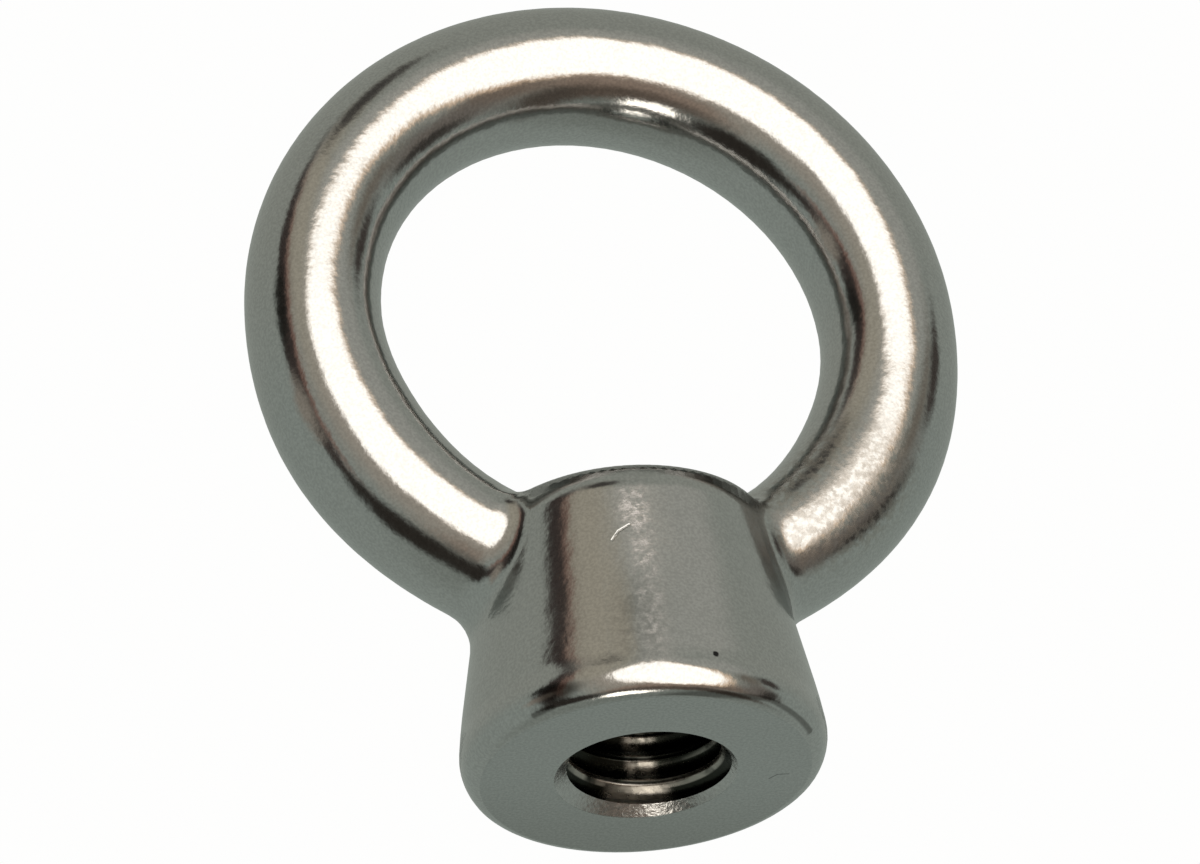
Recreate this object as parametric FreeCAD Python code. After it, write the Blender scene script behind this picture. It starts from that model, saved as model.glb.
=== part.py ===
import FreeCAD, Part
import math
import os

# Eye nut: a closed round ring on a flared boss with a threaded through hole.
# Millimetres. The seat face of the boss lies on z = 0 round the Z axis, and the ring stands in the XZ plane.

os.makedirs("parts", exist_ok=True)

# Thread, after the nominal size that the whole part follows
thread_size = 10.0
thread_pitch = 1.5

# Ring; the bar swells a little low on each side, at this angle below the level of the ring's centre
ring_centre_height = 28.0
ring_middle_radius = 16.5
bar_half_radial = 3.8
bar_half_axial = 4.15
swell_thickness = 0.22
swell_angle = 29.0
swell_reach = 29.0
ring_sections = 36

# Boss, turned about Z
lip_radius = 10.18
lip_upper_round = 2.3
lip_lower_round = 0.95
lip_split_angle = 32.0
wall_start_slope = 7.0
waist_radius = 9.15
waist_height = 7.6
boss_top_radius = 7.95
boss_top_round = 0.7
boss_top_above_eye = 0.05

# Where the bar of the ring runs into the boss
junction_round = 2.4

# Hole
mouth_extra_radius = 0.1
eye_side_edge_break = 0.3
tap_drill_radius = (thread_size - thread_pitch) / 2.0
hole_overrun = 2.0

# The flat top of the boss lies just above the lowest point inside the ring
eye_radius = ring_middle_radius - bar_half_radial
boss_height = ring_centre_height - eye_radius + boss_top_above_eye


def point(radius, height):
    return FreeCAD.Vector(radius, 0.0, height)


def towards(angle):
    # Unit vector in the XZ plane, at this many degrees above the X axis
    lean = math.radians(angle)
    return point(math.cos(lean), math.sin(lean))


def swell(angle):
    # The same on both sides of the ring, and nothing from the reach outwards
    angle_below_centre = -math.degrees(math.asin(towards(angle).z))
    away = (angle_below_centre - swell_angle) / swell_reach
    return swell_thickness * max(0.0, 1.0 - away * away) ** 2


def bar_section(angle):
    # An oval bar, wider along the hole of the ring than across it
    centre = point(0.0, ring_centre_height) + towards(angle) * ring_middle_radius
    wide_end = centre + FreeCAD.Vector(0.0, bar_half_axial, 0.0)
    narrow_end = centre + towards(angle) * (bar_half_radial + swell(angle))
    return Part.Wire(Part.Ellipse(wide_end, narrow_end, centre).toShape())


def ring():
    # Lofted right round through its sections; the loft starts and ends at the bottom, inside the boss
    step = 360.0 / ring_sections
    sections = [bar_section(-90.0 + step * index) for index in range(ring_sections)]
    return Part.makeLoft(sections, True, False, True)


def arc(centre, radius, first_angle, last_angle):
    angles = (first_angle, (first_angle + last_angle) / 2.0, last_angle)
    first, middle, last = [centre + towards(angle) * radius for angle in angles]
    return Part.Arc(first, middle, last)


def lip_rounds():
    # From the flat seat a small round runs into a larger one, which passes over the lip and ends in the wall
    split = towards(-lip_split_angle)
    centres_apart = split * (lip_upper_round - lip_lower_round)
    upper_centre = point(lip_radius - lip_upper_round, lip_lower_round - centres_apart.z)
    lower_centre = upper_centre + centres_apart
    lower = arc(lower_centre, lip_lower_round, -90.0, -lip_split_angle)
    upper = arc(upper_centre, lip_upper_round, -lip_split_angle, wall_start_slope)
    return lower, upper


def boss_wall(start):
    # From the lip the wall leans in to a slight waist, then runs on as a steep cone to the top
    places = [start, point(waist_radius, waist_height), point(boss_top_radius, boss_height)]
    cone = (places[2] - places[1]).normalize()
    curve = Part.BSplineCurve()
    curve.interpolate(Points=places, InitialTangent=towards(90.0 + wall_start_slope), FinalTangent=cone)
    return curve


def boss():
    lower, upper = lip_rounds()
    wall = boss_wall(upper.toShape().lastVertex().Point)
    foot = point(0.0, 0.0)
    seat_rim = lower.toShape().firstVertex().Point
    top_rim = point(boss_top_radius, boss_height)
    top = point(0.0, boss_height)
    outline = Part.Wire([
        Part.makeLine(foot, seat_rim),
        lower.toShape(),
        upper.toShape(),
        wall.toShape(),
        Part.makeLine(top_rim, top),
        Part.makeLine(top, foot),
    ])
    turned = Part.Face(outline).revolve(FreeCAD.Vector(0, 0, 0), FreeCAD.Vector(0, 0, 1), 360.0)
    return turned.makeFillet(boss_top_round, circles_of(turned, boss_top_radius, boss_height))


def circles_of(shape, radius, height):
    found = []
    for edge in shape.Edges:
        curve = edge.Curve
        if curve.TypeId != "Part::GeomCircle":
            continue
        if abs(curve.Radius - radius) < 1e-6 and abs(curve.Center.z - height) < 1e-6:
            found.append(edge)
    return found


def hole_cutter():
    # Tap drill right through, into the eye of the ring
    length = boss_height + 2.0 * hole_overrun
    return Part.makeCylinder(tap_drill_radius, length, FreeCAD.Vector(0.0, 0.0, -hole_overrun))


def mouth_cutter():
    # Countersink of 45 degrees on the seat side, so that its depth equals its step in radius
    step = thread_size / 2.0 + mouth_extra_radius - tap_drill_radius
    wide = tap_drill_radius + 2.0 * step
    return Part.makeCone(wide, tap_drill_radius, 2.0 * step, FreeCAD.Vector(0.0, 0.0, -step))


def eye_side_edges(shape):
    # The rim where the hole breaks out, partly on the flat top and partly in the flanks of the ring
    rim = []
    for edge in shape.Edges:
        start, end = edge.ParameterRange
        places = [edge.valueAt(start + (end - start) * part) for part in (0.1, 0.5, 0.9)]
        reaches = [math.hypot(place.x, place.y) for place in places]
        on_wall = all(abs(reach - tap_drill_radius) < 1e-4 for reach in reaches)
        if on_wall and min(place.z for place in places) > boss_height - 0.01:
            rim.append(edge)
    return rim


def lies_on(shape, place):
    return shape.distToShape(Part.Vertex(place))[0] < 1e-4


def shared_edges(whole, first, second):
    # The seams where both surfaces meet, found by points that lie on each of them
    seams = []
    for edge in whole.Edges:
        start, end = edge.ParameterRange
        places = [edge.valueAt(start + (end - start) * part) for part in (0.12, 0.37, 0.63, 0.88)]
        if all(lies_on(first, place) and lies_on(second, place) for place in places):
            seams.append(edge)
    return seams


def ring_on_boss():
    # The hole is cleared from both before they join, so that only the outside seams are rounded
    ring_shape = ring()
    boss_shape = boss()
    hole = hole_cutter()
    joined = boss_shape.cut(hole).fuse(ring_shape.cut(hole)).removeSplitter()
    ring_skin = Part.Shell(ring_shape.Faces)
    boss_skin = Part.Shell(boss_shape.Faces)
    seams = shared_edges(joined, ring_skin, boss_skin)
    return joined.makeFillet(junction_round, seams)


def eye_nut():
    body = ring_on_boss().cut(mouth_cutter()).Solids[0]
    return body.makeChamfer(eye_side_edge_break, eye_side_edges(body))


eye_terminal = eye_nut()
eye_terminal.exportStep("parts/eye_terminal.step")
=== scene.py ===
import math

import bmesh
import bpy
from mathutils import Matrix, Vector


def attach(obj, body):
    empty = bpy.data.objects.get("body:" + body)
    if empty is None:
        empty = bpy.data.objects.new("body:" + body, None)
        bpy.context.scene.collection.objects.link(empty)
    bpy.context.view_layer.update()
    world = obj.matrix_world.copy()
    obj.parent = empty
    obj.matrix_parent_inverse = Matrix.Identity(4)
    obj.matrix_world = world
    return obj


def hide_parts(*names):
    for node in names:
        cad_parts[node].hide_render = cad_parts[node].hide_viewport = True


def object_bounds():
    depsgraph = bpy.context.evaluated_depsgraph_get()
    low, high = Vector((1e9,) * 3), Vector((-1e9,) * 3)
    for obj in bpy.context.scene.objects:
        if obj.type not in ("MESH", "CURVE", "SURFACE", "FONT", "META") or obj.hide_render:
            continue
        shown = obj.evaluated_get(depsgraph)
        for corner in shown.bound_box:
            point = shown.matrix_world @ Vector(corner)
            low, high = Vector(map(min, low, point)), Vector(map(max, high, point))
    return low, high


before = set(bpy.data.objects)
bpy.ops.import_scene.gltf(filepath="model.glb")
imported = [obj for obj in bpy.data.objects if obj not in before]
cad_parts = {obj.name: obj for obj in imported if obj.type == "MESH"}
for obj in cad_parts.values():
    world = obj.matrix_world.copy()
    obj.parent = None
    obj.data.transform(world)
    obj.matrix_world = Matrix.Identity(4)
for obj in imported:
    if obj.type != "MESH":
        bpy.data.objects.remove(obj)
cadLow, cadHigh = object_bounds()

mm = 0.001
nodeName = "eye_terminal"
ringCentre = (0.0, 0.0, 28.0 * mm)


# Helpers for the camera, the geometry tree, the materials and the studio

def towards(azimuth, elevation):
    # Unit vector; azimuth counts from the front towards +X and elevation upwards, both in degrees
    azimuth, elevation = math.radians(azimuth), math.radians(elevation)
    level = math.cos(elevation)
    return Vector((math.sin(azimuth) * level, -math.cos(azimuth) * level, math.sin(elevation)))


def addObject(name, data):
    made = bpy.data.objects.new(name, data)
    bpy.context.scene.collection.objects.link(made)
    return made


def feed(tree, socket, value):
    # A link from another socket, or a fixed value; a colour is three numbers
    if isinstance(value, bpy.types.NodeSocket):
        tree.links.new(value, socket)
    elif socket.type == "RGBA":
        socket.default_value = (*value, 1.0)
    else:
        socket.default_value = value


def calc(tree, operation, first, second=0.0, third=0.0, clamp=False):
    node = tree.nodes.new("ShaderNodeMath")
    node.operation = operation
    node.use_clamp = clamp
    for socket, value in zip(node.inputs, (first, second, third)):
        feed(tree, socket, value)
    return node.outputs[0]


def times(tree, product, *others):
    for other in others:
        product = calc(tree, "MULTIPLY", product, other)
    return product


def span(tree, across, along):
    # Distance from nought in two coordinates
    return calc(tree, "SQRT", calc(tree, "MULTIPLY_ADD", across, across, times(tree, along, along)))


def ramp(tree, value, fromLow, fromHigh, toLow=0.0, toHigh=1.0):
    # Smooth step from one value to another
    node = tree.nodes.new("ShaderNodeMapRange")
    node.interpolation_type = "SMOOTHSTEP"
    feed(tree, node.inputs["Value"], value)
    feed(tree, node.inputs["From Min"], fromLow)
    feed(tree, node.inputs["From Max"], fromHigh)
    feed(tree, node.inputs["To Min"], toLow)
    feed(tree, node.inputs["To Max"], toHigh)
    return node.outputs["Result"]


def vectorCalc(tree, operation, first, second=(0.0, 0.0, 0.0)):
    node = tree.nodes.new("ShaderNodeVectorMath")
    node.operation = operation
    feed(tree, node.inputs[0], first)
    feed(tree, node.inputs[1], second)
    return node.outputs


def split(tree, vector):
    node = tree.nodes.new("ShaderNodeSeparateXYZ")
    feed(tree, node.inputs[0], vector)
    return list(node.outputs)


def join(tree, x, y, z):
    node = tree.nodes.new("ShaderNodeCombineXYZ")
    for socket, value in zip(node.inputs, (x, y, z)):
        feed(tree, socket, value)
    return node.outputs[0]


def noise(tree, vector, scale, detail, roughness):
    node = tree.nodes.new("ShaderNodeTexNoise")
    feed(tree, node.inputs["Vector"], vector)
    node.inputs["Scale"].default_value = scale
    node.inputs["Detail"].default_value = detail
    node.inputs["Roughness"].default_value = roughness
    return node.outputs["Fac"]


def blendColour(tree, factor, first, second):
    node = tree.nodes.new("ShaderNodeMix")
    node.data_type = "RGBA"
    feed(tree, node.inputs[0], factor)
    feed(tree, node.inputs[6], first)
    feed(tree, node.inputs[7], second)
    return node.outputs[2]


def blendShader(tree, factor, first, second):
    node = tree.nodes.new("ShaderNodeMixShader")
    for socket, value in zip(node.inputs, (factor, first, second)):
        feed(tree, socket, value)
    return node.outputs[0]


# Camera, at the photograph's angle: it looks up at the seat face from below

cameraView = {
    "azimuth": -15.27,           # degrees
    "elevation": -28.89,
    "roll": -5.70,
    "distance": 0.8273,          # metres, from the middle of the ring
    "lens": 443.9,               # millimetres, as is the sensor
    "sensorWidth": 36.0,
    "clip": (0.01, 20.0),
    "imageSize": (1200, 864),
    "ringPixel": (601.8, 331.5),  # where the middle of the ring appears
}


def addCamera(view):
    back = towards(view["azimuth"], view["elevation"])
    right = Vector((0, 0, 1)).cross(back).normalized()
    up = back.cross(right)
    roll = math.radians(view["roll"])
    tiltedRight = right * math.cos(roll) + up * math.sin(roll)
    tiltedUp = up * math.cos(roll) - right * math.sin(roll)
    axes = Matrix((tiltedRight, tiltedUp, back)).transposed()

    # A slight turn brings the middle of the ring to its pixel
    width, height = view["imageSize"]
    column, line = view["ringPixel"]
    pixelsPerUnit = view["lens"] / view["sensorWidth"] * width
    offset = Vector(((column - width / 2.0) / pixelsPerUnit, (height / 2.0 - line) / pixelsPerUnit, -1.0))
    aim = Vector((0, 0, -1)).rotation_difference(offset).to_matrix()
    axes = axes @ aim.transposed()

    data = bpy.data.cameras.new("photoCamera")
    data.lens = view["lens"]
    data.sensor_width = view["sensorWidth"]
    data.clip_start, data.clip_end = view["clip"]
    camera = addObject("photoCamera", data)
    standpoint = Vector(ringCentre) + back * view["distance"]
    camera.matrix_world = Matrix.Translation(standpoint) @ axes.to_4x4()
    bpy.context.scene.camera = camera


addCamera(cameraView)
print("camera set")


# Terminal: the CAD shape with its thread cut by a Geometry Nodes tree

thread = {
    "pitch": 1.5 * mm,
    "minorRadius": 4.28 * mm,
    "majorRadius": 5.02 * mm,
    "crestShare": 0.16,          # shares of the pitch
    "breakShare": 0.045,
    "flankShare": 0.3125,
    "rootShare": 0.125,
    "breakDepth": 0.06 * mm,     # how far each edge of the crest is taken off
    "low": -1.8 * mm,            # the cutter starts outside the seat and ends inside the eye
    "high": 17.4 * mm,
    "stepsPerTurn": 96,
}
surface = {
    "mergeDistance": 0.002 * mm,
    "sharpAngle": 44.0,          # degrees
    "seatTolerance": 0.001 * mm,
    "seatFacing": 0.9,           # least cosine between a seat normal and straight down
}
wallMark = "threadWall"


def copyOfNode(name, label):
    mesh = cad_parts[name].data.copy()
    mesh.name = label
    if "custom_normal" in mesh.attributes:
        mesh.attributes.remove(mesh.attributes["custom_normal"])
    shape = bmesh.new()
    shape.from_mesh(mesh)
    bmesh.ops.remove_doubles(shape, verts=shape.verts, dist=surface["mergeDistance"])
    shape.to_mesh(mesh)
    shape.free()
    return addObject(label, mesh)


def socketLabel(key):
    # minorRadius becomes Minor Radius
    return "".join(" " + letter if letter.isupper() else letter for letter in key).title()


def threadTree():
    tree = bpy.data.node_groups.new("cutThread", "GeometryNodeTree")
    face = tree.interface
    face.new_socket("Geometry", in_out="INPUT", socket_type="NodeSocketGeometry")
    for key, value in thread.items():
        kind = "Int" if isinstance(value, int) else "Float"
        face.new_socket(socketLabel(key), in_out="INPUT", socket_type="NodeSocket" + kind)
    face.new_socket("Wall Material", in_out="INPUT", socket_type="NodeSocketMaterial")
    face.new_socket("Geometry", in_out="OUTPUT", socket_type="NodeSocketGeometry")
    given = tree.nodes.new("NodeGroupInput").outputs
    pitch, low, high = given["Pitch"], given["Low"], given["High"]

    # A sheet of six rows to the pitch: four at the crest, whose edges are broken, and two at the root
    rowsPerPitch = 6.0
    turns = calc(tree, "CEIL", calc(tree, "DIVIDE", calc(tree, "SUBTRACT", high, low), pitch))
    rows = times(tree, calc(tree, "ADD", turns, 2.0), rowsPerPitch)
    sheet = tree.nodes.new("GeometryNodeMeshGrid")
    sheet.inputs["Size X"].default_value = 1.0
    sheet.inputs["Size Y"].default_value = 1.0
    feed(tree, sheet.inputs["Vertices X"], calc(tree, "ADD", given["Steps Per Turn"], 1.0))
    feed(tree, sheet.inputs["Vertices Y"], calc(tree, "ADD", rows, 1.0))
    across, along = split(tree, tree.nodes.new("GeometryNodeInputPosition").outputs[0])[:2]
    share = calc(tree, "ADD", across, 0.5)
    row = calc(tree, "ROUND", times(tree, calc(tree, "ADD", along, 0.5), rows))
    corner = calc(tree, "MODULO", row, rowsPerPitch)
    settled = calc(tree, "ADD", row, 0.25)  # so that a whole number of pitches doesn't round down
    turn = calc(tree, "FLOOR", calc(tree, "DIVIDE", settled, rowsPerPitch))

    # How far into the pitch each of the six rows stands, and how far from the axis
    past = [calc(tree, "GREATER_THAN", corner, index + 0.5) for index in range(5)]
    within = 0.0
    for reached, part in zip(past, ("Break", "Crest", "Break", "Flank", "Root")):
        within = calc(tree, "MULTIPLY_ADD", reached, given[part + " Share"], within)
    onCrest = calc(tree, "SUBTRACT", past[0], past[2])
    offCrest = calc(tree, "SUBTRACT", 1.0, onCrest)
    depth = calc(tree, "SUBTRACT", given["Major Radius"], given["Minor Radius"])
    depth = calc(tree, "SUBTRACT", depth, given["Break Depth"])
    radius = calc(tree, "MULTIPLY_ADD", offCrest, given["Break Depth"], given["Minor Radius"])
    radius = calc(tree, "MULTIPLY_ADD", past[3], depth, radius)

    # The sheet climbs one pitch a turn, and outside its ends it closes on the axis
    climb = calc(tree, "ADD", calc(tree, "ADD", turn, within), calc(tree, "SUBTRACT", share, 1.0))
    height = calc(tree, "ADD", low, times(tree, climb, pitch))
    inside = times(tree, calc(tree, "GREATER_THAN", height, low), calc(tree, "LESS_THAN", height, high))
    heldHeight = calc(tree, "MINIMUM", calc(tree, "MAXIMUM", height, low), high)
    heldRadius = times(tree, radius, inside)
    angle = times(tree, share, 2.0 * math.pi)
    x = times(tree, heldRadius, calc(tree, "COSINE", angle))
    y = times(tree, heldRadius, calc(tree, "SINE", angle))
    wrap = tree.nodes.new("GeometryNodeSetPosition")
    feed(tree, wrap.inputs["Geometry"], sheet.outputs["Mesh"])
    feed(tree, wrap.inputs["Position"], join(tree, x, y, heldHeight))
    close = tree.nodes.new("GeometryNodeMergeByDistance")
    feed(tree, close.inputs["Geometry"], wrap.outputs[0])
    close.inputs["Distance"].default_value = surface["mergeDistance"]

    # The cutter's faces carry a mark through the cut, and so the wall gets its own material
    mark = tree.nodes.new("GeometryNodeStoreNamedAttribute")
    mark.data_type = "BOOLEAN"
    mark.domain = "FACE"
    feed(tree, mark.inputs["Geometry"], close.outputs[0])
    mark.inputs["Name"].default_value = wallMark
    mark.inputs["Value"].default_value = True
    cut = tree.nodes.new("GeometryNodeMeshBoolean")
    cut.operation = "DIFFERENCE"
    cut.solver = "EXACT"
    feed(tree, cut.inputs["Mesh 1"], given["Geometry"])
    feed(tree, cut.inputs["Mesh 2"], mark.outputs[0])
    real = tree.nodes.new("GeometryNodeRealizeInstances")
    feed(tree, real.inputs[0], cut.outputs["Mesh"])
    marked = tree.nodes.new("GeometryNodeInputNamedAttribute")
    marked.data_type = "BOOLEAN"
    marked.inputs["Name"].default_value = wallMark
    wallFaces = tree.nodes.new("GeometryNodeSetMaterial")
    feed(tree, wallFaces.inputs["Geometry"], real.outputs[0])
    feed(tree, wallFaces.inputs["Selection"], marked.outputs["Attribute"])
    feed(tree, wallFaces.inputs["Material"], given["Wall Material"])
    feed(tree, tree.nodes.new("NodeGroupOutput").inputs["Geometry"], wallFaces.outputs[0])
    return tree


def cutThread(piece, wallMaterial):
    tree = threadTree()
    modifier = piece.modifiers.new("cutThread", "NODES")
    modifier.node_group = tree
    values = {socketLabel(key): value for key, value in thread.items()}
    values["Wall Material"] = wallMaterial
    for item in tree.interface.items_tree:
        if item.item_type == "SOCKET" and item.in_out == "INPUT" and item.name in values:
            modifier[item.identifier] = values[item.name]
    bpy.context.view_layer.update()
    evaluated = piece.evaluated_get(bpy.context.evaluated_depsgraph_get())
    mesh = bpy.data.meshes.new_from_object(evaluated)
    mesh.attributes.remove(mesh.attributes[wallMark])
    piece.modifiers.remove(modifier)
    piece.data = mesh


def smoothPiece(piece):
    # Rounded faces are smooth, and every corner of the flat seat points straight down
    mesh = piece.data
    mesh.shade_smooth()
    mesh.set_sharp_from_angle(angle=math.radians(surface["sharpAngle"]))
    normals = [corner.vector.copy() for corner in mesh.corner_normals]
    down = Vector((0, 0, -1))
    for polygon in mesh.polygons:
        for index in polygon.loop_indices:
            height = mesh.vertices[mesh.loops[index].vertex_index].co.z
            if abs(height) < surface["seatTolerance"] and normals[index].dot(down) > surface["seatFacing"]:
                normals[index] = down
    mesh.normals_split_custom_set(normals)


# Shader node groups, all in millimetres and degrees

placeOnBoss = {"Azimuth": "Float", "Radius": "Float", "Height": "Float"}
grain = {
    # Noise cells to a millimetre, detail and roughness
    "speck": (6.0, 1.0, 0.5),
    "fine": (3.5, 2.0, 0.6),
    "coarse": (1.0, 2.0, 0.5),
    "wave": (0.28, 1.0, 0.5),
    "fineHeight": 0.0052,
    "coarseHeight": 0.016,
    "waveHeight": 0.05,
}
polish = {
    "outsideRadius": (6.3, 6.8),  # keeps the polish out of the hole
    "middleAzimuth": -9.0,
    "asideFrom": (3.0, 14.0),    # distance from the middle azimuth over which the sides begin
    "wholeDrop": 0.17,           # each drop grows over its rise and is gone at the first height of its fade
    "wholeRise": (0.2, 3.0),
    "wholeFade": (15.0, 5.0),
    "sideDrop": 0.13,
    "sideRise": (0.9, 2.9),
    "sideFade": (13.0, 3.0),
    "topFrom": 13.6,
    "topCurved": 0.86,
    "topEnd": (15.6, 15.4),
    "topSlope": 0.49,            # rise of the lean to its length
    "topCalm": 0.85,             # share of the grain that is polished away there
    "limbSine": (0.90, 0.76),    # sine of the azimuth over which the limbs give way to the top edge
}
wear = {
    # Places are azimuth and height
    "outsideRadius": (7.0, 7.4),
    "specks": (2.4, 3.0, 0.6),   # noise cells to a millimetre, detail and roughness
    "highScuffAt": (-10.0, 12.2), "highScuffHalf": (6.0, 1.9),
    "lowScuffAt": (-8.0, 7.4), "lowScuffHalf": (4.6, 5.6), "lowScuffShare": 0.8,
    "scuffSpecks": (0.34, 0.78),
    "dullAt": (-12.5, 4.6), "dullHalf": (7.5, 2.7), "dullEdge": 0.6,
    "dullSpecks": (0.68, 0.40),
    "waistRadius": 8.7,          # turns azimuth into arc length at the scratch
    "scratch": ((-18.9, 10.15), (-16.4, 10.7), (-12.3, 11.05)), "scratchHalf": 0.11,
    "scratchSpecks": (0.30, 0.52), "scratchStrength": (0.1, 0.6),
    "lipRadius": 10.1,           # the same at the pit and the rim
    "pitAt": (10.8, 2.30), "pitHalf": (0.18, 0.18), "pitEdge": 0.25, "pitRagged": 0.25,
    "footShadeAt": (-41.0, 0.95), "footShadeHalf": (7.5, 0.40),
    "rimShade": (
        ((-52.0, 0.30), (-44.0, 0.33)),
        ((-16.0, -0.14), (9.0, 0.12), (20.0, 0.22), (31.0, 0.40), (58.0, 0.22)),
    ),
    "rimShadeHalf": 0.17, "rimShadeShare": 0.7,
    "shadeAboveSeat": (0.02, 0.05),
    # Degrees round the middle of the ring and millimetres towards the back
    "satinAt": (-46.0, -4.1), "satinHalf": (17.0, 1.7),
    "satinNoise": (2.2, 3.0, 0.6), "satinSpecks": (0.36, 0.62),
}


def newGroup(name, given, made):
    # Both are dictionaries of labels and kinds
    group = bpy.data.node_groups.new(name, "ShaderNodeTree")
    for label, kind in given.items():
        group.interface.new_socket(label, in_out="INPUT", socket_type="NodeSocket" + kind)
    for label, kind in made.items():
        group.interface.new_socket(label, in_out="OUTPUT", socket_type="NodeSocket" + kind)
    return group, group.nodes.new("NodeGroupInput").outputs, group.nodes.new("NodeGroupOutput").inputs


def useGroup(tree, group, source):
    # Each input takes what the source holds under the same name
    node = tree.nodes.new("ShaderNodeGroup")
    node.node_tree = group
    for socket in node.inputs:
        feed(tree, socket, source[socket.name])
    return node.outputs


def nearSpot(tree, across, along, middle, half, edge=0.5):
    # One inside an oval in two coordinates, nought outside it
    wide = calc(tree, "DIVIDE", calc(tree, "SUBTRACT", across, middle[0]), half[0])
    high = calc(tree, "DIVIDE", calc(tree, "SUBTRACT", along, middle[1]), half[1])
    return ramp(tree, span(tree, wide, high), 1.0 - edge, 1.0 + edge, 1.0, 0.0)


def nearLine(tree, across, along, start, end, half, core=0.3):
    # One on a straight stroke between two places, nought beyond its half width, whose core is full
    run = (end[0] - start[0], end[1] - start[1])
    squared = math.hypot(*run) ** 2
    x = calc(tree, "SUBTRACT", across, start[0])
    y = calc(tree, "SUBTRACT", along, start[1])
    share = calc(tree, "MULTIPLY_ADD", x, run[0] / squared, times(tree, y, run[1] / squared))
    share = calc(tree, "MINIMUM", calc(tree, "MAXIMUM", share, 0.0), 1.0)
    x = calc(tree, "MULTIPLY_ADD", share, -run[0], x)
    y = calc(tree, "MULTIPLY_ADD", share, -run[1], y)
    return ramp(tree, span(tree, x, y), core * half, half, 1.0, 0.0)


def nearPath(tree, across, along, places, half):
    # The same on a chain of strokes
    mask = 0.0
    for start, end in zip(places, places[1:]):
        mask = calc(tree, "MAXIMUM", nearLine(tree, across, along, start, end, half), mask)
    return mask


def aroundAxisGroup():
    # Object position in millimetres, and as azimuth, radius and height round the thread's axis
    group, given, made = newGroup("aroundAxis", {"Point": "Vector"}, {"Millimetres": "Vector", **placeOnBoss})
    millimetres = vectorCalc(group, "MULTIPLY", given["Point"], (1.0 / mm, 1.0 / mm, 1.0 / mm))["Vector"]
    x, y, z = split(group, millimetres)
    feed(group, made["Millimetres"], millimetres)
    feed(group, made["Azimuth"], calc(group, "DEGREES", calc(group, "ARCTAN2", x, times(group, y, -1.0))))
    feed(group, made["Radius"], span(group, x, y))
    feed(group, made["Height"], z)
    return group


def metalGrainGroup():
    # Grain of the polished cast metal, with its height
    made = dict.fromkeys(("Speck", "Fine", "Coarse", "Relief"), "Float")
    group, given, made = newGroup("metalGrain", {"Millimetres": "Vector"}, made)
    layers = [noise(group, given["Millimetres"], *grain[key]) for key in ("speck", "fine", "coarse", "wave")]
    speck, fine, coarse, wave = layers
    relief = times(group, fine, grain["fineHeight"])
    relief = calc(group, "MULTIPLY_ADD", coarse, grain["coarseHeight"], relief)
    relief = calc(group, "MULTIPLY_ADD", wave, grain["waveHeight"], relief)
    for label, value in (("Speck", speck), ("Fine", fine), ("Coarse", coarse), ("Relief", relief)):
        feed(group, made[label], value)
    return group


def lipReliefGroup():
    # Hand polishing has left the lip a little steeper than the plain turned form, most of all at its sides
    group, given, made = newGroup("lipRelief", placeOnBoss, {"Relief": "Float"})
    height = given["Height"]
    aside = calc(group, "ABSOLUTE", calc(group, "SUBTRACT", given["Azimuth"], polish["middleAzimuth"]))
    aside = ramp(group, aside, *polish["asideFrom"])
    whole = times(group, ramp(group, height, *polish["wholeRise"]), ramp(group, height, *polish["wholeFade"]))
    whole = times(group, whole, -polish["wholeDrop"])
    sides = times(group, ramp(group, height, *polish["sideRise"]), ramp(group, height, *polish["sideFade"]))
    relief = calc(group, "MULTIPLY_ADD", times(group, sides, aside), -polish["sideDrop"], whole)
    outside = ramp(group, given["Radius"], *polish["outsideRadius"])
    feed(group, made["Relief"], times(group, relief, outside))
    return group


def topEdgeGroup():
    # It has also left the top edge rounder, so between the limbs the normals lean upwards near it
    group, given, made = newGroup("topEdge", placeOnBoss, {"Normal": "Vector", "Lean": "Float"})
    over = calc(group, "SUBTRACT", given["Height"], polish["topFrom"])
    lean = calc(group, "DIVIDE", over, polish["topCurved"], clamp=True)
    sideways = calc(group, "ABSOLUTE", calc(group, "SINE", calc(group, "RADIANS", given["Azimuth"])))
    between = ramp(group, sideways, *polish["limbSine"])
    below = ramp(group, given["Height"], *polish["topEnd"])
    outside = ramp(group, given["Radius"], *polish["outsideRadius"])
    lean = times(group, lean, times(group, between, below, outside))
    upward = join(group, 0.0, 0.0, times(group, lean, polish["topSlope"]))
    plain = group.nodes.new("ShaderNodeNewGeometry").outputs["Normal"]
    leaning = vectorCalc(group, "ADD", plain, upward)["Vector"]
    feed(group, made["Normal"], vectorCalc(group, "NORMALIZE", leaning)["Vector"])
    feed(group, made["Lean"], lean)
    return group


def limbWearGroup():
    # Worn satin patch on the front of one limb
    group, given, made = newGroup("limbWear", {"Millimetres": "Vector"}, {"Satin": "Float"})
    x, y, z = split(group, given["Millimetres"])
    rise = calc(group, "SUBTRACT", z, ringCentre[2] / mm)
    around = calc(group, "DEGREES", calc(group, "ARCTAN2", rise, x))
    patch = nearSpot(group, around, y, wear["satinAt"], wear["satinHalf"])
    specks = noise(group, given["Millimetres"], *wear["satinNoise"])
    feed(group, made["Satin"], times(group, patch, ramp(group, specks, *wear["satinSpecks"])))
    return group


def unrolled(places, radius):
    # Azimuth as arc length
    return [(math.radians(radius) * angle, level) for angle, level in places]


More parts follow.
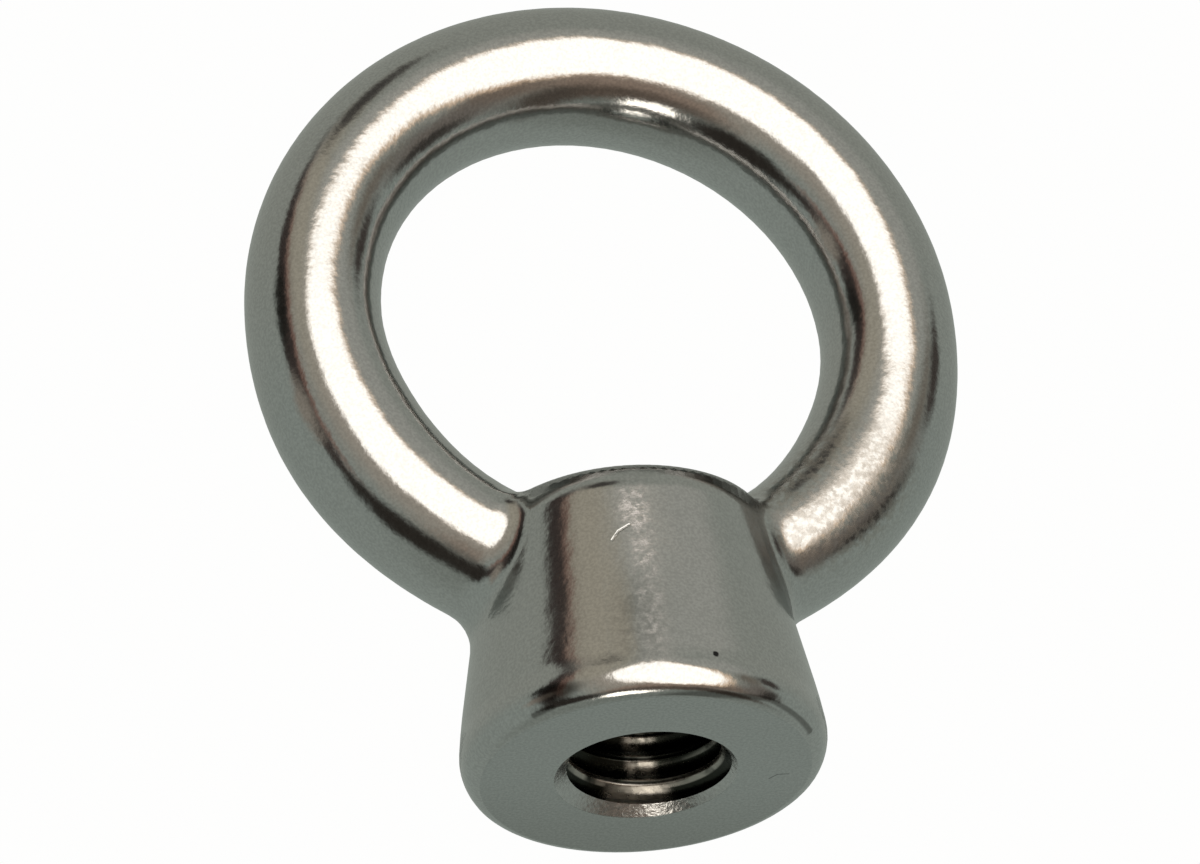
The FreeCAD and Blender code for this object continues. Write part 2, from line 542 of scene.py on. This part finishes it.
def bossWearGroup():
    # Masks of the scuffs, the dull patch, the scratch, the pit and the strokes of painted shade on the boss
    made = dict.fromkeys(("Scuff", "Dull", "Scratch", "Pit", "Shade"), "Float")
    group, given, made = newGroup("bossWear", {**placeOnBoss, "Millimetres": "Vector"}, made)
    azimuth, height = given["Azimuth"], given["Height"]
    specks = noise(group, given["Millimetres"], *wear["specks"])

    high = nearSpot(group, azimuth, height, wear["highScuffAt"], wear["highScuffHalf"])
    low = nearSpot(group, azimuth, height, wear["lowScuffAt"], wear["lowScuffHalf"])
    band = calc(group, "MAXIMUM", high, times(group, low, wear["lowScuffShare"]))
    scuff = times(group, band, ramp(group, specks, *wear["scuffSpecks"]))
    dull = nearSpot(group, azimuth, height, wear["dullAt"], wear["dullHalf"], wear["dullEdge"])
    dull = times(group, dull, ramp(group, specks, *wear["dullSpecks"]))

    arcLength = times(group, azimuth, math.radians(wear["waistRadius"]))
    places = unrolled(wear["scratch"], wear["waistRadius"])
    scratch = nearPath(group, arcLength, height, places, wear["scratchHalf"])
    broken = ramp(group, specks, *wear["scratchSpecks"], *wear["scratchStrength"])
    scratch = times(group, scratch, broken)

    arcLength = times(group, azimuth, math.radians(wear["lipRadius"]))
    ragged = calc(group, "MULTIPLY_ADD", specks, wear["pitRagged"], arcLength)
    across, level = unrolled([wear["pitAt"]], wear["lipRadius"])[0]
    pitAt = (across + 0.5 * wear["pitRagged"], level)  # the specks' mean is a half
    pit = nearSpot(group, ragged, height, pitAt, wear["pitHalf"], wear["pitEdge"])

    # Painted shade: a dark spot and strokes on the lip where it mirrors dark surroundings
    shade = nearSpot(group, azimuth, height, wear["footShadeAt"], wear["footShadeHalf"])
    for stroke in wear["rimShade"]:
        line = nearPath(group, arcLength, height, unrolled(stroke, wear["lipRadius"]), wear["rimShadeHalf"])
        shade = calc(group, "MAXIMUM", times(group, line, wear["rimShadeShare"]), shade)
    shade = times(group, shade, ramp(group, height, *wear["shadeAboveSeat"]))

    outside = ramp(group, given["Radius"], *wear["outsideRadius"])
    masks = {"Scuff": scuff, "Dull": dull, "Scratch": scratch, "Pit": pit, "Shade": shade}
    for label, mask in masks.items():
        feed(group, made[label], times(group, mask, outside))
    return group


aroundAxis = aroundAxisGroup()
metalGrain = metalGrainGroup()
bossWear = bossWearGroup()
lipRelief = lipReliefGroup()
topEdge = topEdgeGroup()
limbWear = limbWearGroup()
print("node groups made")


# Materials of the outside and of the thread's wall, again in millimetres and degrees

black = (0.0, 0.0, 0.0)
steel = {
    "colour": (0.64, 0.635, 0.615),
    "dullColour": (0.48, 0.475, 0.46), "dullShare": 0.9,
    "scuffColour": (0.74, 0.70, 0.69),
    "seatShadedColour": (0.56, 0.565, 0.55),
    "seatBackShadedColour": (0.44, 0.44, 0.42),
    "seatShare": 0.85,
    "seatBackFrom": (-1.0, 9.5),  # painted shade, darker towards the back
    "seatBelow": (0.02, 0.01),
    "satinColour": (0.54, 0.51, 0.47),
    "mottle": 0.17, "mottleSpecks": (0.25, 0.75),
    "pitColour": (0.03, 0.03, 0.03),
    "seatMark": ((7.0, 0.05), (7.35, -0.45), (7.95, -0.55)), "seatMarkHalf": 0.07, "seatMarkShare": 0.55,
    "shadeColour": (0.06, 0.05, 0.04), "shadeShare": 0.85,
    "mirroredPaintedShade": 0.42,          # painted shade: the steel is darker where it is seen mirrored in itself
    "roughness": 0.10,
    "grainRoughness": 0.06,      # added, as are the next ones
    "scuffRoughness": 0.30, "scuffShare": 0.7,
    "satinRoughness": 0.16,
    "countersinkRoughness": 0.14,
    "secondRoughness": 0.2,
    "scuffRelief": 0.005,
    "scratchRelief": 0.03,
    "countersinkRelief": 0.03,
    "countersinkRadius": (5.3, 5.15),
    "countersinkTop": (1.2, 1.0),
    "countersinkFoot": (0.005, 0.02),
}
wall = {
    # painted shade: the wall near the mouth is near black, standing in for the shade inside the hole
    "colour": (0.035, 0.037, 0.030),
    "deepColour": (0.30, 0.30, 0.28),
    "deepHeight": (6.0, 10.0),   # beyond what the photograph shows the wall is lighter
    "glintColour": (0.50, 0.47, 0.42),
    "crestRadius": (4.58, 4.48),  # painted highlight: the crest nearest the mouth is lighter
    "crestRise": (1.0, 1.2),
    "crestFade": (2.9, 2.6),
    "crestGrain": (0.2, 0.55),
    "shineAzimuth": 168.0,       # painted glints: a lighter streak runs up the back of the hole, where the low lamp's glints fall
    "shineReach": (14.0, 5.6),
    "shineGrain": (0.35, 0.65),
    "mouthShineAzimuth": 172.0,  # and a wider painted sheen crosses the first groove
    "mouthShineReach": (27.0, 16.2),
    "mouthShineHeight": (1.85, 1.75), "mouthShineShare": 0.8,
    "roughness": 0.15,
    "grainRoughness": 0.2,       # added, as is the next one
    "glintRoughness": 0.06,
    "relief": 1.5,               # times that of the outside
}


def newMaterial(name):
    material = bpy.data.materials.new(name)
    material.use_nodes = True
    tree = material.node_tree
    return material, tree, tree.nodes["Principled BSDF"]


def measuredPoint(tree):
    point = tree.nodes.new("ShaderNodeTexCoord").outputs["Object"]
    spot = useGroup(tree, aroundAxis, {"Point": point})
    return spot, useGroup(tree, metalGrain, spot)


def addRelief(tree, shader, relief, normal=None):
    bump = tree.nodes.new("ShaderNodeBump")
    bump.inputs["Distance"].default_value = mm
    bump.inputs["Strength"].default_value = 1.0
    feed(tree, bump.inputs["Height"], relief)
    if normal is not None:
        feed(tree, bump.inputs["Normal"], normal)
    feed(tree, shader.inputs["Normal"], bump.outputs[0])


def polishedSteel():
    material, tree, shader = newMaterial("polishedStainless")
    shader.inputs["Metallic"].default_value = 1.0
    spot, texture = measuredPoint(tree)
    x, y, z = split(tree, spot["Millimetres"])
    marks = useGroup(tree, bossWear, spot)
    satin = useGroup(tree, limbWear, spot)["Satin"]
    mirrored = tree.nodes.new("ShaderNodeLightPath").outputs["Is Glossy Ray"]
    onSeat = ramp(tree, z, *steel["seatBelow"])

    # Painted shade: the seat is painted darker than the rest of the steel, and darker still towards the back
    backward = ramp(tree, y, *steel["seatBackFrom"])
    seatShadedTone = blendColour(tree, backward, steel["seatShadedColour"], steel["seatBackShadedColour"])
    seatMark = nearPath(tree, x, y, steel["seatMark"], steel["seatMarkHalf"])
    seatMark = times(tree, seatMark, times(tree, onSeat, steel["seatMarkShare"]))
    tone = steel["colour"]
    for share, colour in (
        (times(tree, marks["Dull"], steel["dullShare"]), steel["dullColour"]),
        (marks["Scuff"], steel["scuffColour"]),
        (times(tree, onSeat, steel["seatShare"]), seatShadedTone),
        (satin, steel["satinColour"]),
        (ramp(tree, texture["Speck"], *steel["mottleSpecks"], steel["mottle"], 0.0), black),
        (seatMark, steel["pitColour"]),
        (marks["Pit"], steel["pitColour"]),
        (times(tree, marks["Shade"], steel["shadeShare"]), steel["shadeColour"]),
        # painted shade in the steel's reflections of itself
        (times(tree, mirrored, steel["mirroredPaintedShade"]), black),
    ):
        tone = blendColour(tree, share, tone, colour)
    feed(tree, shader.inputs["Base Color"], tone)

    worn = calc(tree, "MAXIMUM", marks["Scratch"], times(tree, marks["Scuff"], steel["scuffShare"]))
    worn = calc(tree, "MAXIMUM", worn, marks["Pit"])
    turned = times(
        tree,
        ramp(tree, spot["Radius"], *steel["countersinkRadius"]),
        ramp(tree, z, *steel["countersinkTop"]),
        ramp(tree, z, *steel["countersinkFoot"]),
    )
    rough = steel["roughness"]
    for share, added in (
        (texture["Fine"], steel["grainRoughness"]),
        (worn, steel["scuffRoughness"]),
        (satin, steel["satinRoughness"]),
        (turned, steel["countersinkRoughness"]),
        (mirrored, steel["secondRoughness"]),
    ):
        rough = calc(tree, "MULTIPLY_ADD", share, added, rough)
    feed(tree, shader.inputs["Roughness"], rough)

    # The grain keeps its middle level where it is calmed
    edge = useGroup(tree, topEdge, spot)
    middleLevel = 0.5 * (grain["fineHeight"] + grain["coarseHeight"] + grain["waveHeight"])
    calm = calc(tree, "MULTIPLY_ADD", edge["Lean"], -polish["topCalm"], 1.0)
    relief = times(tree, calc(tree, "SUBTRACT", texture["Relief"], middleLevel), calm)
    relief = calc(tree, "MULTIPLY_ADD", marks["Scuff"], -steel["scuffRelief"], relief)
    relief = calc(tree, "MULTIPLY_ADD", marks["Scratch"], -steel["scratchRelief"], relief)
    relief = calc(tree, "ADD", relief, useGroup(tree, lipRelief, spot)["Relief"])
    chatter = times(tree, turned, texture["Fine"], steel["countersinkRelief"])
    addRelief(tree, shader, calc(tree, "ADD", relief, chatter), edge["Normal"])
    return material


def awayFrom(tree, azimuth, middle):
    # Degrees between an azimuth and a middle one near the back, where azimuths pass from 180 to -180
    whole = calc(tree, "MODULO", calc(tree, "ADD", azimuth, 540.0 - middle), 360.0)
    return calc(tree, "ABSOLUTE", calc(tree, "SUBTRACT", whole, 180.0))


def tappedSteel():
    material, tree, shader = newMaterial("tappedThread")
    shader.inputs["Metallic"].default_value = 1.0
    spot, texture = measuredPoint(tree)
    azimuth, radius, height = spot["Azimuth"], spot["Radius"], spot["Height"]

    # Painted highlight and glints on a wall painted in shade
    nearMouth = times(tree, ramp(tree, height, *wall["crestRise"]), ramp(tree, height, *wall["crestFade"]))
    onCrest = ramp(tree, radius, *wall["crestRadius"])
    crest = times(tree, nearMouth, onCrest, ramp(tree, texture["Coarse"], *wall["crestGrain"]))
    streak = ramp(tree, awayFrom(tree, azimuth, wall["shineAzimuth"]), *wall["shineReach"])
    streak = times(tree, streak, ramp(tree, texture["Coarse"], *wall["shineGrain"]))
    groove = ramp(tree, awayFrom(tree, azimuth, wall["mouthShineAzimuth"]), *wall["mouthShineReach"])
    groove = times(tree, groove, ramp(tree, height, *wall["mouthShineHeight"]), wall["mouthShineShare"])
    paintedGlints = calc(tree, "MAXIMUM", calc(tree, "MAXIMUM", crest, streak), groove)

    tone = blendColour(tree, ramp(tree, height, *wall["deepHeight"]), wall["colour"], wall["deepColour"])
    feed(tree, shader.inputs["Base Color"], blendColour(tree, paintedGlints, tone, wall["glintColour"]))
    rough = calc(tree, "MULTIPLY_ADD", texture["Fine"], wall["grainRoughness"], wall["roughness"])
    feed(tree, shader.inputs["Roughness"], calc(tree, "MULTIPLY_ADD", paintedGlints, wall["glintRoughness"], rough))
    addRelief(tree, shader, times(tree, texture["Relief"], wall["relief"]))
    return material


terminal = copyOfNode(nodeName, "eyeTerminalBody")
terminal.data.materials.clear()
terminal.data.materials.append(polishedSteel())
cutThread(terminal, tappedSteel())
smoothPiece(terminal)
materialNames = [material.name for material in terminal.data.materials]
print("terminal made", len(terminal.data.polygons), "faces", materialNames)

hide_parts(nodeName)
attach(terminal, "root")


# Studio: soft panels that the polished steel mirrors, and a pale floor seen only from above

studio = {
    "backdrop": (0.99, 0.99, 0.985),
    "sideTone": (0.295, 0.332, 0.305),
    "highTone": (0.32, 0.335, 0.30), "highFrom": (0.0, 0.95),  # sine of the elevation
    "lowTone": (0.225, 0.25, 0.225), "lowFrom": (-0.5, -0.95),
}

# Azimuth and elevation of each middle, half width and half height and tilt are in degrees
panels = {
    "windowGlow": {"at": (-4, -2), "half": (52, 46), "tilt": -30, "edge": 0.45, "tone": (0.39, 0.35, 0.295)},
    "topGlow": {"at": (4, 43), "half": (28, 10), "edge": 0.7, "tone": (0.42, 0.42, 0.38)},
    "warmFloor": {"at": (5, -46), "half": (34, 14), "edge": 0.5, "tone": (0.31, 0.235, 0.185)},
    "nadirShade": {"at": (15, -62), "half": (38, 11), "edge": 0.6, "tone": (0.12, 0.092, 0.072)},
    "ceilingBand": {"at": (-53, 43), "half": (8, 20), "tilt": -20, "edge": 0.6, "tone": (0.22, 0.19, 0.16)},
    "leftGlow": {"at": (-42, 42), "half": (13, 26), "edge": 0.7, "tone": (0.41, 0.38, 0.31)},
    "leftRust": {"at": (-62, 18), "half": (4, 36), "edge": 0.6, "tone": (0.24, 0.14, 0.11)},
    "leftDoor": {"at": (-71, 16), "half": (8, 48), "edge": 0.3, "tone": (0.045, 0.035, 0.032)},
    "leftGap": {"at": (-76, 2), "half": (10, 8), "edge": 0.6, "tone": (0.29, 0.26, 0.22)},
    "leftFoot": {"at": (-69, -42), "half": (14, 26), "tilt": 8, "edge": 0.35, "tone": (0.028, 0.024, 0.02)},
    "leftKnob": {"at": (-75, 27), "half": (9, 9), "edge": 0.4, "tone": (0.015, 0.014, 0.012)},
    "ceilingShade": {"at": (-36, 67), "half": (9, 9), "edge": 0.5, "tone": (0.06, 0.055, 0.05)},
    "rightGlow": {"at": (56, 12), "half": (8, 16), "edge": 0.7, "tone": (0.19, 0.17, 0.14)},
    "rightHaze": {"at": (42, 38), "half": (15, 15), "edge": 0.6, "tone": (0.40, 0.405, 0.37)},
    "rightTop": {"at": (73, 20), "half": (8, 9), "edge": 0.5, "tone": (0.055, 0.045, 0.04)},
    "lowRight": {"at": (48, -30), "half": (17, 14), "edge": 0.6, "tone": (0.21, 0.165, 0.13)},
    "rightShade": {"at": (66, -16), "half": (13, 22), "edge": 0.6, "tone": (0.18, 0.16, 0.14)},
    "rightSpot": {"at": (74, -14), "half": (7, 14), "edge": 0.5, "tone": (0.045, 0.04, 0.035)},
    "rightFoot": {"at": (68, -57), "half": (24, 9), "edge": 0.6, "tone": (0.085, 0.07, 0.057)},
    "windowFringe": {
        "at": (7.5, 1.5), "half": (42.5, 34), "tilt": -45, "edge": 0.08, "tone": (0.95, 0.67, 0.44),
    },
    "window": {"at": (5, 2), "half": (40, 32), "tilt": -45, "edge": 0.09, "tone": (1.9, 1.84, 1.74)},
    "lowLamp": {"at": (-34, -76.5), "half": (9, 13), "edge": 0.3, "tone": (3.2, 3.0, 2.7)},
}


def panelMask(tree, direction, panel):
    middle = towards(*panel["at"])
    azimuth = math.radians(panel["at"][0])
    across = Vector((math.cos(azimuth), math.sin(azimuth), 0.0))
    across.rotate(Matrix.Rotation(math.radians(panel.get("tilt", 0)), 3, middle))
    along = middle.cross(across)
    ahead = vectorCalc(tree, "DOT_PRODUCT", direction, middle)["Value"]
    reaches = []
    for axis, half in zip((across, along), panel["half"]):
        side = vectorCalc(tree, "DOT_PRODUCT", direction, axis)["Value"]
        reaches.append(calc(tree, "DIVIDE", calc(tree, "ARCTAN2", side, ahead), math.radians(half)))
    return ramp(tree, span(tree, *reaches), 1.0 - panel["edge"], 1.0 + panel["edge"], 1.0, 0.0)


def addStudio():
    world = bpy.data.worlds.new("lightTent")
    bpy.context.scene.world = world
    world.use_nodes = True
    tree = world.node_tree
    tree.nodes.clear()
    direction = tree.nodes.new("ShaderNodeTexCoord").outputs["Generated"]
    rise = split(tree, direction)[2]
    tone = blendColour(tree, ramp(tree, rise, *studio["highFrom"]), studio["sideTone"], studio["highTone"])
    tone = blendColour(tree, ramp(tree, rise, *studio["lowFrom"]), tone, studio["lowTone"])
    for panel in panels.values():
        tone = blendColour(tree, panelMask(tree, direction, panel), tone, panel["tone"])
    mirrored = tree.nodes.new("ShaderNodeBackground")
    feed(tree, mirrored.inputs["Color"], tone)
    seen = tree.nodes.new("ShaderNodeBackground")
    feed(tree, seen.inputs["Color"], studio["backdrop"])
    cameraRay = tree.nodes.new("ShaderNodeLightPath").outputs["Is Camera Ray"]
    mixed = blendShader(tree, cameraRay, mirrored.outputs[0], seen.outputs[0])
    feed(tree, tree.nodes.new("ShaderNodeOutputWorld").inputs["Surface"], mixed)


floorSettings = {
    "half": 1.5,                 # metres
    "drop": 0.01 * mm,
    "colour": (0.86, 0.86, 0.85),
    "roughness": 0.9,
    "glowColour": (1.0, 1.0, 0.99),
    "glow": 0.42,
    "fade": (0.12, 1.3),         # metres from the middle between which it passes into the backdrop
}


def paleFloor():
    material, tree, shader = newMaterial("paleFloor")
    feed(tree, shader.inputs["Base Color"], floorSettings["colour"])
    feed(tree, shader.inputs["Roughness"], floorSettings["roughness"])
    feed(tree, shader.inputs["Emission Color"], floorSettings["glowColour"])
    feed(tree, shader.inputs["Emission Strength"], floorSettings["glow"])
    cameraRay = tree.nodes.new("ShaderNodeLightPath").outputs["Is Camera Ray"]
    fromBelow = tree.nodes.new("ShaderNodeNewGeometry").outputs["Backfacing"]
    point = tree.nodes.new("ShaderNodeTexCoord").outputs["Object"]
    fade = ramp(tree, vectorCalc(tree, "LENGTH", point)["Value"], *floorSettings["fade"], 1.0, 0.0)
    shown = times(tree, cameraRay, calc(tree, "SUBTRACT", 1.0, fromBelow), fade)
    clear = tree.nodes.new("ShaderNodeBsdfTransparent").outputs[0]
    surfaceSocket = tree.nodes["Material Output"].inputs["Surface"]
    feed(tree, surfaceSocket, blendShader(tree, shown, clear, shader.outputs[0]))
    return material


def addFloor():
    half = floorSettings["half"]
    level = cadLow.z - floorSettings["drop"]
    corners = [(x, y, level) for x, y in ((-half, -half), (half, -half), (half, half), (-half, half))]
    mesh = bpy.data.meshes.new("studioFloor")
    mesh.from_pydata(corners, [], [(0, 1, 2, 3)])
    mesh.materials.append(paleFloor())
    floor = addObject("studioFloor", mesh)


addStudio()
addFloor()
bpy.context.scene.view_settings.view_transform = "Standard"
print("studio set")
